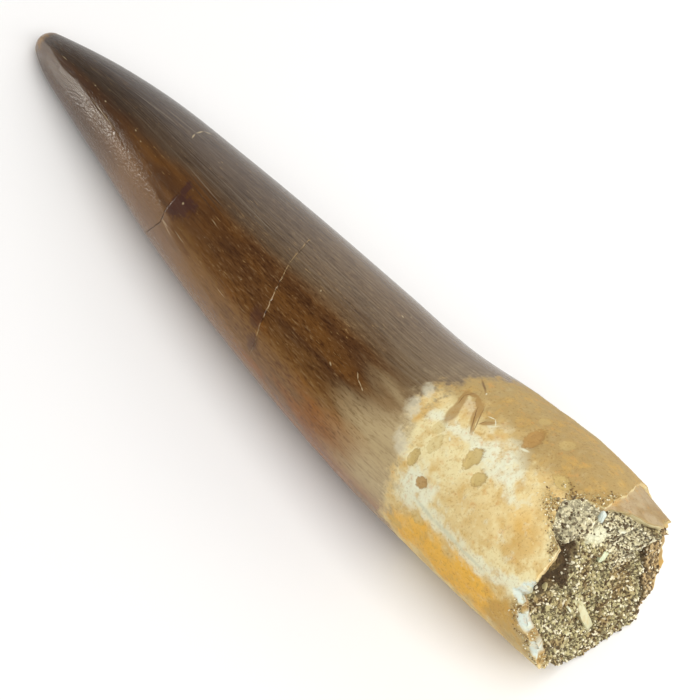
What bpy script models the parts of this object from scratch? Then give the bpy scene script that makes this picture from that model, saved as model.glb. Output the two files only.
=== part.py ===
"""Fossil plesiosaur tooth lying on its side, with sandy rock filling its hollow, broken root.

Metres, +Z up. The tooth lies along X on z = 0, its tip at -X and its broken end at +X.
"Along" is the distance from the tip in mm. "Around" is the angle about the length in degrees:
0 at the +Y side, 90 on top, 180 at the -Y side and 270 underneath.
"""
import math

import bmesh
import bpy
from mathutils import Matrix, Vector, noise

MM = 0.001

# Outer form, mm
TIP_X = -37.93
TIP_ROUNDING = 1.2
HEIGHT_TO_WIDTH = 0.92
REST_FLAT = 0.06
SECTIONS = (  # along, half width, sideways bow
    (0.0, 0.9, 1.85), (3.0, 1.75, 1.4), (8.0, 2.8, 1.15), (15.0, 3.95, 0.8),
    (25.0, 5.2, 0.0), (35.0, 6.1, -0.5), (45.0, 6.75, -0.8), (53.0, 7.15, -0.85),
    (60.0, 7.75, -0.4), (67.0, 8.05, 0.05), (76.0, 7.55, 0.35),
)
ROOT_LUMPS = 0.12

# Broken end of the root: around, along
OUTER_BREAK = (
    (12, 70.6), (32, 70.6), (58, 71.8), (78, 72.1), (84, 70.8), (95, 70.0), (104, 70.6),
    (110, 71.2), (114, 72.6), (137, 73.0), (150, 72.6), (158, 73.4), (167, 74.2), (174, 75.2),
    (190, 75.6), (203, 75.3), (225, 74.1), (240, 73.6), (255, 73.5), (285, 73.5), (300, 73.8),
    (315, 73.7), (330, 72.8), (345, 71.4),
)
INNER_LAYER = (  # how far the wall's inner layer stands out beyond the outer one
    (0, 2.0), (15, 2.8), (30, 3.7), (41, 3.3), (47, 3.8), (54, 3.2), (65, 1.3), (75, 0.15),
    (200, 0.2), (270, 0.3), (305, 0.4), (325, 0.75), (345, 1.7),
)
WALL = 1.0
LAYER = 0.32
HOLLOW_FLOOR = 58.0
HOLLOW_BLUNTNESS = 0.62

# Brown enamel ends in a wavy line: around, along
ENAMEL_EDGE = (
    (0, 59.0), (47, 58.0), (66, 57.0), (86, 56.3), (104, 56.2), (128, 57.5), (152, 58.8),
    (202, 59.0), (290, 58.2),
)

# Marks in the surface
CRACK_RADIUS = 0.14
CRACKS = (  # along, around
    ((24.7, 183), (25.7, 165), (26.3, 153), (26.1, 138), (26.2, 123), (26.1, 108)),
    ((37.6, 72), (38.6, 95), (39.7, 115), (40.3, 128), (40.9, 148), (41.2, 157), (41.0, 167)),
)
PIT_DEPTH = 0.16
PITS = (  # along, around, length along, width around, turn in degrees
    (62.8, 110, 1.1, 2.2, -8), (64.4, 117, 1.15, 1.45, -5), (64.5, 78, 1.2, 2.8, -21),
    (59.1, 132, 0.85, 1.5, -16), (61.0, 140, 1.35, 1.0, 0), (68.8, 87, 1.8, 1.1, 0),
)

# Rock in the hollow, mm
GAP = 0.3
SPILL = (  # around, share of the wall's thickness that the rock covers outside the break
    (74, 0.0), (84, 1.0), (108, 1.0), (116, 0.0), (215, 0.0), (235, 0.9), (292, 0.9), (306, 0.0),
)
ROCK_STANDS_OUT = (  # around, how far the rock's rim stands out beyond the wall
    (20, 0.3), (60, 0.5), (80, 1.2), (95, 2.4), (108, 1.6), (118, 0.5), (150, -0.9), (175, -0.8),
    (200, 0.3), (235, 0.8), (292, 0.8), (306, 0.4), (340, 0.4),
)
ROCK_MIDDLE = 73.8
FACE_SLANT = 0.12
ROCK_LUMPS = 0.6
CRUMB_SIZE = 1.35
CRUMB_RELIEF = 1.0
SPILL_SINK = 0.4
SPLINTER_SIZE = (0.9, 0.62, 4.7)  # out of the face, across, lengthwise
SPLINTER_PLACE = (-1.28, 4.83)  # sideways, height
SPLINTER_STANDS_OUT = 0.25
SPLINTER_TURN = 16.5

# Smoothness of the meshes
COLUMNS = 72
CRACK_STEP = 8.0
SHARP_ANGLE = 35
SIDE_ROWS = (
    0.12, 0.4, 0.9, 1.6, 3.0, 5.0, 7.5, 10.5, 13.5, 17.0, 20.5, 24.0, 27.5, 31.0, 34.5, 38.0,
    41.5, 45.0, 48.0, 51.0, 53.5,
)
ROOT_ROWS = (60.5, 62.0, 64.0, 66.0, 67.6, 69.0)
HOLLOW_ROWS = (0.93, 0.78, 0.6, 0.4, 0.2, 0.07)  # share of the way out from the hollow's floor
WALL_ROWS = (0.12, 0.3, 0.55, 0.8)
SPILL_ROWS = (0.0, 0.5)
FACE_ROWS = (0.0, 0.08, 0.17, 0.26, 0.35, 0.44, 0.53, 0.62, 0.71, 0.81, 0.91)


def smooth_value(points, column, x):
    """Value of one column at x, on a smooth curve through points sorted by their first column."""
    last = len(points) - 2
    at = next((i for i in range(last + 1) if x < points[i + 1][0]), last)

    def slope(i):
        before, after = max(i - 1, 0), min(i + 1, last + 1)
        rises = []
        for a, b in ((before, i), (i, after)):
            if a != b:
                run = points[b][0] - points[a][0]
                rises.append(((points[b][column] - points[a][column]) / run, run))
        if len(rises) == 1:
            return rises[0][0]
        (rise_a, run_a), (rise_b, run_b) = rises
        return (rise_a * run_b + rise_b * run_a) / (run_a + run_b)

    run = points[at + 1][0] - points[at][0]
    t = (x - points[at][0]) / run
    start, end = points[at][column], points[at + 1][column]
    return ((2 * t ** 3 - 3 * t ** 2 + 1) * start + (t ** 3 - 2 * t ** 2 + t) * run * slope(at)
            + (3 * t ** 2 - 2 * t ** 3) * end + (t ** 3 - t ** 2) * run * slope(at + 1))


def ring_value(points, around):
    """Value at an angle, on straight lines between points that go once around the tooth."""
    around %= 360
    closed = [(points[-1][0] - 360, points[-1][1]), *points, (points[0][0] + 360, points[0][1])]
    for (a, start), (b, end) in zip(closed, closed[1:]):
        if a <= around <= b:
            return start + (end - start) * (around - a) / (b - a)
    return points[0][1]


def half_width(along):
    return smooth_value(SECTIONS, 1, along)


def rounding(along):
    """1 along the tooth, falling to 0 over the rounded tip."""
    left = 1 - min(max(along / TIP_ROUNDING, 0), 1)
    return math.sqrt(1 - left * left)


def surface_point(along, around, inward=0.0):
    """Point in metres on the tooth's surface, or that many mm inside it."""
    full = half_width(along)
    half = full * rounding(along) - inward
    angle = math.radians(around)
    y = smooth_value(SECTIONS, 2, along) + half * math.cos(angle)
    z = HEIGHT_TO_WIDTH * (full + half * math.sin(angle)) - REST_FLAT
    return Vector((TIP_X + along, y, max(z, 0.0))) * MM


def root_lump(along, around):
    """How far the uneven root surface lies inside its smooth form, mm. It rests on an even strip."""
    place = surface_point(along, around) / MM
    rise = min(max((along - 55) / 8, 0), 1)
    clear_of_rest = min(4 + 4 * math.sin(math.radians(around)), 1)
    return ROOT_LUMPS * rise * clear_of_rest * (0.5 + 0.5 * noise.noise(place * 0.45))


def enamel_edge(around):
    return ring_value(ENAMEL_EDGE, around)


def outer_break(around):
    return ring_value(OUTER_BREAK, around)


def inner_break(around):
    return outer_break(around) + ring_value(INNER_LAYER, around)


def hollow_inward(along, around):
    """Depth in mm of the hollow's wall under the outer surface, thick at the hollow's floor."""
    share = max(along - HOLLOW_FLOOR, 0) / (inner_break(around) - HOLLOW_FLOOR)
    open_half = (half_width(along) - WALL) * min(share, 1) ** HOLLOW_BLUNTNESS
    return half_width(along) - open_half


def mesh_from(bm, name):
    mesh = bpy.data.meshes.new(name)
    bm.to_mesh(mesh)
    bm.free()
    return mesh


def new_object(name, mesh, collection):
    found = bpy.data.objects.new(name, mesh)
    collection.objects.link(found)
    return found


def loft(name, rows, start, end, collection):
    """Closed skin over rows of points, one row after the other, from point start to point end."""
    bm = bmesh.new()
    rings = [[bm.verts.new(point) for point in row] for row in rows]
    first, last = bm.verts.new(start), bm.verts.new(end)
    for k in range(COLUMNS):
        n = (k + 1) % COLUMNS
        bm.faces.new((first, rings[0][k], rings[0][n]))
        bm.faces.new((last, rings[-1][n], rings[-1][k]))
        for a, b in zip(rings, rings[1:]):
            bm.faces.new((a[k], b[k], b[n], a[n]))
    bmesh.ops.recalc_face_normals(bm, faces=bm.faces)
    return new_object(name, mesh_from(bm, name), collection)


def around_angles():
    return [360.0 * k / COLUMNS for k in range(COLUMNS)]


def tooth_rows():
    """Rows of points from the tip along the outside, over the broken rim and down the hollow."""
    angles = around_angles()
    rows = []
    for along in SIDE_ROWS:
        rows.append([surface_point(along, a) for a in angles])
    for edge in (enamel_edge, *ROOT_ROWS):
        alongs = [edge(a) if callable(edge) else edge for a in angles]
        rows.append([surface_point(s, a, root_lump(s, a)) for s, a in zip(alongs, angles)])
    rim = ((outer_break, 0.0), (outer_break, LAYER), (inner_break, LAYER + 0.02), (inner_break, WALL))
    for edge, inward in rim:
        rows.append([surface_point(edge(a), a, inward + root_lump(edge(a), a)) for a in angles])
    for share in HOLLOW_ROWS:
        row = []
        for a in angles:
            along = HOLLOW_FLOOR + share * (inner_break(a) - HOLLOW_FLOOR)
            row.append(surface_point(along, a, hollow_inward(along, a)))
        rows.append(row)
    return rows


def middle_point(along):
    y = smooth_value(SECTIONS, 2, along)
    z = HEIGHT_TO_WIDTH * half_width(along) - REST_FLAT
    return Vector((TIP_X + along, y, z)) * MM


def surface_frame(along, around):
    """Axes at a place on the surface: X along the tooth, Z out of it."""
    here = surface_point(along, around)
    lengthwise = (surface_point(along + 0.5, around) - here).normalized()
    sideways = (surface_point(along, around + 2) - here).normalized()
    outward = sideways.cross(lengthwise).normalized()
    sideways = outward.cross(lengthwise)
    turn = Matrix((lengthwise, sideways, outward)).transposed().to_4x4()
    return Matrix.Translation(here) @ turn


def make_cutter(mesh, name, cutters):
    cutter = new_object(name, mesh, cutters)
    cutter.hide_render = True
    cutter.display_type = 'WIRE'
    return cutter


def pit_cutter(number, along, around, length, width, turn, cutters):
    bm = bmesh.new()
    bmesh.ops.create_icosphere(bm, subdivisions=2, radius=1.0)
    size = Matrix.Diagonal((length / 2 * MM, width / 2 * MM, PIT_DEPTH * MM, 1))
    turned = Matrix.Rotation(math.radians(turn), 4, 'Z')
    bm.transform(surface_frame(along, around) @ turned @ size)
    return make_cutter(mesh_from(bm, f"pit_{number}"), f"pit_{number}", cutters)


def crack_cutter(number, places, cutters):
    """A thin round rod laid on the surface from place to place, as one closed mesh."""
    curve = bpy.data.curves.new(f"crack_{number}", 'CURVE')
    curve.dimensions = '3D'
    curve.bevel_depth = CRACK_RADIUS * MM
    curve.bevel_resolution = 1
    curve.use_fill_caps = True
    line = curve.splines.new('POLY')
    line.points.add(len(places) - 1)
    for point, (along, around) in zip(line.points, places):
        point.co = (*surface_point(along, around, 0.3 * CRACK_RADIUS), 1)
    rod = new_object(f"crack_{number}_line", curve, cutters)
    bpy.context.view_layer.update()
    mesh = bpy.data.meshes.new_from_object(rod.evaluated_get(bpy.context.evaluated_depsgraph_get()))
    bpy.data.objects.remove(rod)
    bm = bmesh.new()
    bm.from_mesh(mesh)
    bmesh.ops.remove_doubles(bm, verts=bm.verts, dist=1e-7)
    return make_cutter(mesh_from(bm, f"crack_{number}"), f"crack_{number}", cutters)


def add_boolean(part, other, operation):
    cut = part.modifiers.new(other.name, 'BOOLEAN')
    cut.operation = operation
    cut.solver = 'EXACT'
    cut.object = other


def make_tooth(collection, cutters):
    tooth = loft("tooth", tooth_rows(), surface_point(0, 0), middle_point(HOLLOW_FLOOR), collection)
    for number, pit in enumerate(PITS):
        add_boolean(tooth, pit_cutter(number, *pit, cutters), 'DIFFERENCE')
    for number, crack in enumerate(CRACKS):
        places = subdivided(crack)
        add_boolean(tooth, crack_cutter(number, places, cutters), 'DIFFERENCE')
    even = tooth.modifiers.new("even shading", 'WEIGHTED_NORMAL')
    even.weight = 100
    even.keep_sharp = True
    paint_tooth(tooth)
    return tooth


def subdivided(places):
    """The same line with places at most a few degrees apart."""
    line = [places[0]]
    for (along_a, around_a), (along_b, around_b) in zip(places, places[1:]):
        parts = max(1, math.ceil(abs(around_b - around_a) / CRACK_STEP))
        for k in range(1, parts + 1):
            share = k / parts
            line.append((along_a + (along_b - along_a) * share,
                         around_a + (around_b - around_a) * share))
    return line


def rock_lump(point):
    """Rough relief at a point in metres, mm: broad swells with coarse crumbs of sand on them."""
    place = point / MM
    swell = noise.noise(place * 0.42)
    nearest = noise.voronoi(place / CRUMB_SIZE)[0][0]
    return ROCK_LUMPS * swell + CRUMB_RELIEF * (0.45 - nearest)


def rock_rim(around):
    return inner_break(around) + ring_value(ROCK_STANDS_OUT, around)


def rock_rim_inward(around):
    """How deep the rock's rim lies under the tooth's outer surface, mm."""
    return (WALL + GAP) * (1 - ring_value(SPILL, around)) + 0.15


def past_wall(around, distance):
    """Place along the tooth beyond the wall's broken end, kept behind the rock's own lip."""
    return min(inner_break(around) + distance, rock_rim(around) + distance - 0.8)


def spill_point(around, share):
    """Place on the rock outside the wall's break, from beside the wall to the rock's lip."""
    start = past_wall(around, GAP + 0.08)
    along = start + share * (rock_rim(around) - start)
    bare = surface_point(along, around, rock_rim_inward(around))
    room = min(rock_rim(around) - start, 1.0)
    sink = SPILL_SINK * room * (1 - abs(2 * share - 1)) * abs(rock_lump(bare))
    return surface_point(along, around, rock_rim_inward(around) + sink)


def lip_point(around):
    return surface_point(rock_rim(around), around, rock_rim_inward(around) + 0.1)


def face_point(around, share):
    """Place on the rock's rough, slanting face, a share of the way from its lip to its middle."""
    middle = middle_point(ROCK_MIDDLE)
    lip = lip_point(around)
    place = lip.lerp(middle, share)
    plane_x = middle.x - FACE_SLANT * (place.z - middle.z)
    roughness = min(0.15 + 2.5 * share, 1.0) * rock_lump(place) * MM
    place.x = plane_x + (lip.x - plane_x) * (1 - share) ** 3 + roughness
    return place


def rock_rows():
    """Rows from the hollow's floor along its wall, out past the break and in over the rough face."""
    angles = around_angles()
    rows = []
    for share in WALL_ROWS:
        row = []
        for a in angles:
            along = HOLLOW_FLOOR + share * (outer_break(a) - 1.0 - HOLLOW_FLOOR)
            row.append(surface_point(along, a, hollow_inward(along, a) + GAP + 0.05))
        rows.append(row)
    inside = WALL + GAP + 0.05
    rows.append([surface_point(past_wall(a, GAP + 0.03), a, inside) for a in angles])
    for share in SPILL_ROWS:
        rows.append([spill_point(a, share) for a in angles])
    for share in FACE_ROWS:
        rows.append([face_point(a, share) for a in angles])
    return rows


def splinter(cutters):
    """A straight sliver lying in the rock's face."""
    bm = bmesh.new()
    bmesh.ops.create_icosphere(bm, subdivisions=2, radius=0.5)
    bm.transform(Matrix.Diagonal((*(size * MM for size in SPLINTER_SIZE), 1)))
    place = Vector((TIP_X + ROCK_MIDDLE + SPLINTER_STANDS_OUT, *SPLINTER_PLACE)) * MM
    turn = Matrix.Rotation(math.radians(SPLINTER_TURN), 4, 'X')
    bm.transform(Matrix.Translation(place) @ turn)
    return make_cutter(mesh_from(bm, "splinter"), "splinter", cutters)


def make_rock(collection, cutters):
    inner_end = middle_point(HOLLOW_FLOOR + GAP + 0.4)
    rock = loft("matrix_plug", rock_rows(), inner_end, face_point(0, 1), collection)
    add_boolean(rock, splinter(cutters), 'UNION')
    rock.data.materials.append(principled("sandy rock", (0.42, 0.33, 0.19), 0.95))
    return rock


def principled(name, colour, roughness):
    material = bpy.data.materials.new(name)
    material.use_nodes = True
    shader = material.node_tree.nodes["Principled BSDF"]
    shader.inputs["Base Color"].default_value = (*colour, 1)
    shader.inputs["Roughness"].default_value = roughness
    shader.inputs["Metallic"].default_value = 0.0
    return material


def paint_tooth(tooth):
    """Brown enamel on the crown, cream dentine on the root and in the hollow."""
    tooth.data.materials.append(principled("cream root", (0.72, 0.56, 0.31), 0.6))
    tooth.data.materials.append(principled("brown enamel", (0.13, 0.07, 0.035), 0.3))
    for face in tooth.data.polygons:
        middle = face.center / MM
        along = middle.x - TIP_X
        side = middle.y - smooth_value(SECTIONS, 2, along)
        height = middle.z / HEIGHT_TO_WIDTH - half_width(along)
        around = math.degrees(math.atan2(height, side))
        face.material_index = int(along < enamel_edge(around))


def main():
    for leftover in list(bpy.data.objects):
        bpy.data.objects.remove(leftover)
    parts = bpy.data.collections.new("fossil_tooth")
    cutters = bpy.data.collections.new("cutters")
    for collection in (parts, cutters):
        bpy.context.scene.collection.children.link(collection)
    tooth = make_tooth(parts, cutters)
    tooth.data.shade_smooth()
    tooth.data.set_sharp_from_angle(angle=math.radians(SHARP_ANGLE))
    make_rock(parts, cutters)


main()
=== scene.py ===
"""Looks of a fossil plesiosaur tooth lying on its side, with sandy rock in its broken root.

The tooth is measured in mm and degrees: "along" is the distance from the tip, and "around" the
angle about the length, 0 at the +Y side, 90 on top, 180 at the -Y side and 270 underneath.
Meshes are laid out in mm and brought to metres when they are finished.
"""
import math

import bmesh
import bpy
import numpy as np
from mathutils import Matrix, Vector, noise


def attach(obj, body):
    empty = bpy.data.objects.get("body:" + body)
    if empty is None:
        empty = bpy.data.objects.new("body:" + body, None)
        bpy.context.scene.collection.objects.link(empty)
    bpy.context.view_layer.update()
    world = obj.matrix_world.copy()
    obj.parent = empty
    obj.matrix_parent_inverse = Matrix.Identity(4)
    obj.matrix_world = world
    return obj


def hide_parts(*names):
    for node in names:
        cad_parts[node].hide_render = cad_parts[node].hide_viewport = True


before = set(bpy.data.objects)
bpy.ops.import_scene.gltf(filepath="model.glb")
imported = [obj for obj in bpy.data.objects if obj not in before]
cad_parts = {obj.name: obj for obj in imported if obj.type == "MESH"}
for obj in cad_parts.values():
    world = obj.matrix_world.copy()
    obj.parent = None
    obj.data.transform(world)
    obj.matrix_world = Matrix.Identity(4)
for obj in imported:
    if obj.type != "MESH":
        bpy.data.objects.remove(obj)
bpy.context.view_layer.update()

MM = 0.001

# Outer form of the tooth
TIP_X = -37.93
TIP_ROUNDING = 1.2
HEIGHT_TO_WIDTH = 0.92
REST_FLAT = 0.06
SECTIONS = (  # along, half width, sideways bow
    (0.0, 0.9, 1.85), (3.0, 1.75, 1.4), (8.0, 2.8, 1.15), (15.0, 3.95, 0.8),
    (25.0, 5.2, 0.0), (35.0, 6.1, -0.5), (45.0, 6.75, -0.8), (53.0, 7.15, -0.85),
    (60.0, 7.75, -0.4), (67.0, 8.05, 0.05), (76.0, 7.55, 0.35),
)
ROOT_LUMPS = 0.12
ROOT_GRAIN = 0.035
BREAK_GRAIN = 0.05

# Broken end of the root: around, along
OUTER_BREAK = (
    (12, 70.6), (32, 70.6), (58, 71.8), (78, 72.1), (84, 70.8), (95, 70.0), (104, 70.6),
    (110, 71.2), (114, 72.6), (137, 73.0), (150, 72.6), (158, 73.4), (167, 74.2), (174, 75.2),
    (190, 75.6), (203, 75.3), (225, 74.1), (240, 73.6), (255, 73.5), (285, 73.5), (300, 73.8),
    (315, 73.7), (330, 72.8), (345, 71.4),
)
INNER_LAYER = (  # how far the wall's inner layer stands out beyond the outer one
    (0, 2.0), (15, 2.8), (30, 3.7), (41, 3.3), (47, 3.8), (54, 3.2), (65, 1.3), (75, 0.15),
    (125, 0.1), (137, 0.0), (192, 0.0), (203, 0.2), (270, 0.3), (305, 0.4), (325, 0.75), (345, 1.7),
)
WALL = 1.0
LAYER = 0.32
HOLLOW_FLOOR = 58.0
HOLLOW_BLUNTNESS = 0.62
RAGGEDNESS = (  # around, how far the outer layer's edge strays
    (60, 0.14), (136, 0.14), (146, 0.34), (196, 0.3), (210, 0.2), (320, 0.2),
)
RIM_CHIPS = (  # around, how far back from the break the outside is chipped off
    (136, 0.0), (141, 0.5), (153, 0.75), (155, 0.0), (158, 0.0), (160, 0.7), (167, 0.6), (169, 0.0),
    (172, 0.0), (174, 0.5), (183, 0.35), (188, 0.0), (216, 0.0), (222, 0.5), (231, 0.0), (318, 0.0),
    (324, 0.5), (336, 0.0),
)
CHIP_DEPTH = 0.4
UNDERCUT = (  # around, how far the wall's inside has broken back behind its outside
    (0, 0.25), (22, 0.6), (62, 0.6), (84, 0.7), (146, 0.75), (160, 0.25), (200, 0.15), (330, 0.1),
)

# Rock in the hollow
GAP = 0.3
SPILL = (  # around, share of the wall's thickness that the rock covers outside the break
    (74, 0.0), (84, 1.0), (108, 1.0), (116, 0.0), (215, 0.0), (235, 0.9), (292, 0.9), (306, 0.0),
)
ROCK_STANDS_OUT = (  # around, how far the rock's rim stands out beyond the wall
    (20, 0.3), (60, 0.5), (80, 1.2), (95, 2.4), (108, 1.6), (118, 0.5), (150, -0.9), (175, -0.8),
    (200, 0.3), (235, 0.8), (292, 0.8), (306, 0.4), (340, 0.4),
)
ROCK_MIDDLE = 73.8
FACE_SLANT = 0.12
ROCK_LUMPS = 0.6
CRUMB_SIZE = 1.35
CRUMB_RELIEF = 1.0

# Wavy line where the brown enamel ends: around, along
ENAMEL_EDGE = (
    (0, 59.0), (47, 58.0), (66, 57.0), (86, 56.3), (104, 56.2), (128, 57.5), (152, 58.8),
    (202, 59.0), (290, 58.2),
)

# Where the tan band starts, and where the grey side of the crown ends: along, around
BAND_BORDER = (
    (2.8, 112), (5.6, 124), (8.8, 123), (14.2, 130), (19.2, 133), (24.2, 138), (26.8, 142),
    (32.4, 158), (38.8, 168), (48, 190),
)
GREY_BORDER = (
    (0, 118), (8, 109), (14, 110), (19, 109), (27, 103), (36, 104), (44, 100), (50, 101), (56, 108),
)

# Cracks across the crown: around and along for each line, around and how open it is there, 0 to 1
UPPER_CRACK = ((108, 26.1), (123, 26.2), (138, 26.1), (153, 26.3), (165, 25.7), (183, 24.7))
UPPER_CRACK_OPEN = (
    (106, 0.0), (112, 0.1), (138, 0.15), (146, 1.0), (166, 0.7), (184, 0.7), (192, 0.0),
)
LOWER_CRACK = (
    (72, 37.6), (95, 38.6), (115, 39.7), (128, 40.3), (148, 40.9), (157, 41.2), (167, 41.0),
)
LOWER_CRACK_OPEN = ((70, 0.0), (72, 0.7), (94, 0.5), (112, 0.9), (158, 1.0), (167, 0.5), (172, 0.0))
CRACK_DEPTH = 0.07
CRACK_HALF_WIDTH = 0.045
CRACK_WAVER = 0.09

# Oval marks: along, around, length along, width around, turn in degrees
PITS = (
    (62.8, 110, 1.1, 2.0, -8), (64.4, 117, 1.1, 1.4, -5), (59.1, 132, 0.85, 1.5, -16),
    (68.8, 87, 1.8, 1.1, 0),
)
BROWN_PITS = ((64.5, 78, 1.15, 2.6, -21), (61.0, 140, 1.1, 0.95, 0))
FAINT_PITS = (
    (60.2, 178, 1.6, 1.1, 0), (62.2, 160, 1.5, 1.0, 0), (58.9, 109, 0.9, 1.5, -10),
    (59.7, 118, 0.9, 1.7, -14), (66.3, 66, 1.0, 1.6, 10), (63.4, 62, 0.8, 1.3, 0),
    (62.6, 215, 1.1, 1.9, 8), (65.2, 244, 1.3, 1.0, 0), (61.9, 318, 1.2, 2.0, 5),
    (66.8, 336, 1.9, 1.2, 0), (63.7, 20, 1.1, 1.9, 10), (69.2, 300, 1.2, 1.8, 0),
)
PIT_DEPTH = 0.09

# The skin's columns around the tooth, and its rows from the tip to the floor of the hollow
COLUMNS = 360
TIP_ROWS = 13
UPPER_ROWS = 42
CRACK_STEPS = CRACK_HALF_WIDTH * np.array((-3, -1.5, -0.7, 0, 0.7, 1.5, 3))
MIDDLE_ROWS = 24
LOWER_ROWS = 32
ROOT_ROWS = 90
WALL_ROWS = (0.985, 0.965, 0.94, 0.91, 0.87, 0.8, 0.68, 0.5, 0.3, 0.12)  # shares of the hollow's length
STREAK_RADIUS = 6.5  # of the even cylinder that streaks and marks are drawn on
LOW_SIDE = 170  # around, the middle of the low part of the break
WELL_PAST = 20  # how far past the enamel's edge the broken faces count as being


def srgb(red, green, blue):
    """A colour given as 0 to 255 values of sRGB, as linear light."""
    value = np.array((red, green, blue)) / 255
    return np.where(value <= 0.04045, value / 12.92, ((value + 0.055) / 1.055) ** 2.4)


# Crown
BROWN = srgb(102, 66, 27)
DEEP_BROWN = srgb(80, 50, 24)
# Greys of the crown's grey side, here and in the olive tan below: its own tone with painted sheen in it
GREY_SHEEN_BROWN = srgb(82, 68, 54)
DEEP_GREY = srgb(60, 48, 38)
# The band's tan is partly its own lighter enamel, partly painted sheen
BAND_SHEEN_TAN = srgb(128, 97, 68)
BAND_BROWN = srgb(92, 72, 56)
OLIVE_SHEEN_TAN = srgb(108, 90, 68)
JUNCTION_TAN = srgb(186, 166, 126)
AMBER = srgb(138, 84, 16)
GOLD_BROWN = srgb(130, 92, 44)
DARK_TIP = srgb(58, 34, 18)
WORN_TIP = srgb(176, 132, 72)
PURPLE = srgb(64, 38, 36)
FLECK = srgb(206, 186, 146)
CRACK_DARK = srgb(48, 30, 20)
CRACK_PALE = srgb(196, 168, 122)
# Root and its break
CREAM = srgb(222, 201, 146)
PALE_CREAM = srgb(229, 217, 168)
CHALK = srgb(226, 226, 198)
ROOT_TAN = srgb(168, 140, 86)
OCHRE = srgb(200, 160, 84)
RUST = srgb(232, 180, 74)
PIT_OCHRE = srgb(196, 172, 110)
PIT_BROWN = srgb(172, 134, 76)
# Painted shade at the pits' edges
PIT_RIM_SHADE = srgb(146, 114, 62)
MARK_BROWN = srgb(160, 124, 70)
VEIN_GREY = srgb(198, 198, 170)
CHIP_BLUE = srgb(200, 210, 200)
PALE_TAN = srgb(208, 188, 150)
INNER_TAN = srgb(180, 158, 122)
EDGE_CREAM = srgb(216, 204, 160)
WALL_BROWN = srgb(166, 138, 88)
# Rock, sand and chips
SAND = srgb(186, 176, 130)
SAND_DARK = srgb(52, 38, 20)
SAND_BROWN = srgb(150, 120, 70)
SPLINTER_CREAM = srgb(206, 202, 162)
PALE_GREEN = srgb(206, 214, 180)
PALE_SAND = srgb(214, 206, 170)
BEYOND_TAN = srgb(192, 163, 114)
# Dark brown of the matrix in the recess, with painted shade in it
SHADED_RECESS_BROWN = srgb(66, 42, 20)
GRAIN_WHITE = srgb(240, 234, 206)
MARGIN_GRAIN_DARK = srgb(112, 84, 46)
ROCK_GRAIN_DARK = srgb(70, 50, 26)
# Streaks, clouds and strokes in the tooth's finish
RIDGE_GREY = srgb(134, 122, 104)
PALE_RIDGE = srgb(150, 138, 120)
STREAK_AMBER = srgb(122, 84, 42)
STREAK_GREY = srgb(140, 124, 98)
DASH_TAN = srgb(164, 136, 96)
HAIR_TAN = srgb(186, 152, 100)
CLOUD_ORANGE = srgb(206, 152, 84)
CLINGING_SAND = srgb(150, 124, 74)
LINE_BROWN = srgb(112, 80, 44)
PORE_BROWN = srgb(140, 112, 70)
BLEACHED_TAN = srgb(190, 172, 134)
BLOB_WHITE = srgb(214, 208, 182)
# Tints that darken what is under them, and the floor's colours, as linear light
RIDGE_SHADE = np.array((0.5, 0.46, 0.42))
BROAD_SHADE = np.array((0.5, 0.42, 0.34))
STREAK_SHADE = np.array((0.42, 0.36, 0.32))
DASH_SHADE = np.array((0.42, 0.32, 0.22))
GRIT_SHADE = np.array((0.66, 0.54, 0.4))
FLOOR_WHITE = np.array((0.93, 0.93, 0.93))
FLOOR_GREY = np.array((0.9, 0.9, 0.91))

# Patches of colour on the root: oval mark, colour, amount
ROOT_ZONES = (
    ((59.0, 116, 4.0, 7.5, 0), PALE_CREAM, 0.9), ((63.0, 120, 5.5, 7.0, 0), PALE_CREAM, 0.8),
    ((64.2, 98, 5.0, 3.2, 20), CHALK, 0.9), ((60.6, 150, 3.2, 4.0, 0), CHALK, 0.8),
    ((71.8, 116, 3.0, 7.0, 0), PALE_CREAM, 0.85), ((72.2, 148, 2.2, 7.0, 0), PALE_CREAM, 0.8),
    ((66.5, 149, 11.0, 3.0, 0), PALE_CREAM, 0.7), ((67.0, 173, 13.0, 5.4, 0), RUST, 1.0),
    ((62.0, 172, 5.0, 4.4, 0), RUST, 0.75), ((72.6, 178, 4.4, 7.0, 0), WALL_BROWN, 0.55),
    ((67.5, 74, 9.0, 7.0, 0), ROOT_TAN, 0.6), ((65.0, 142, 5.0, 5.0, 0), OCHRE, 0.4),
    ((70.6, 124, 3.4, 3.4, 0), OCHRE, 0.7), ((69.0, 118, 2.6, 2.2, 0), RUST, 0.25),
    ((67.0, 235, 9.0, 9.0, 0), OCHRE, 0.6), ((63.0, 320, 8.0, 8.0, 0), RUST, 0.45),
    ((69.0, 350, 7.0, 7.0, 0), PALE_CREAM, 0.5),
)
# White veins and wisps on the root: places as along, around, then width, colour, amount
ROOT_WISPS = (
    (((59.9, 141), (60.5, 147), (62.6, 152), (65.5, 153), (67.9, 155), (70.3, 152), (72.3, 146)),
     0.7, CHALK, 0.8),
    (((57.6, 106), (59.1, 104), (60.7, 102), (62.6, 102), (63.9, 103), (66.1, 106), (67.2, 114)),
     0.5, CHALK, 0.85),
    (((63.4, 103), (65.8, 105)), 1.0, CHALK, 0.8), (((60.4, 141), (61.6, 144)), 1.3, CHALK, 0.9),
    (((59.0, 87), (59.6, 90)), 0.5, PALE_TAN, 0.7),
)


# ---------- the tooth's form ----------

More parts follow.
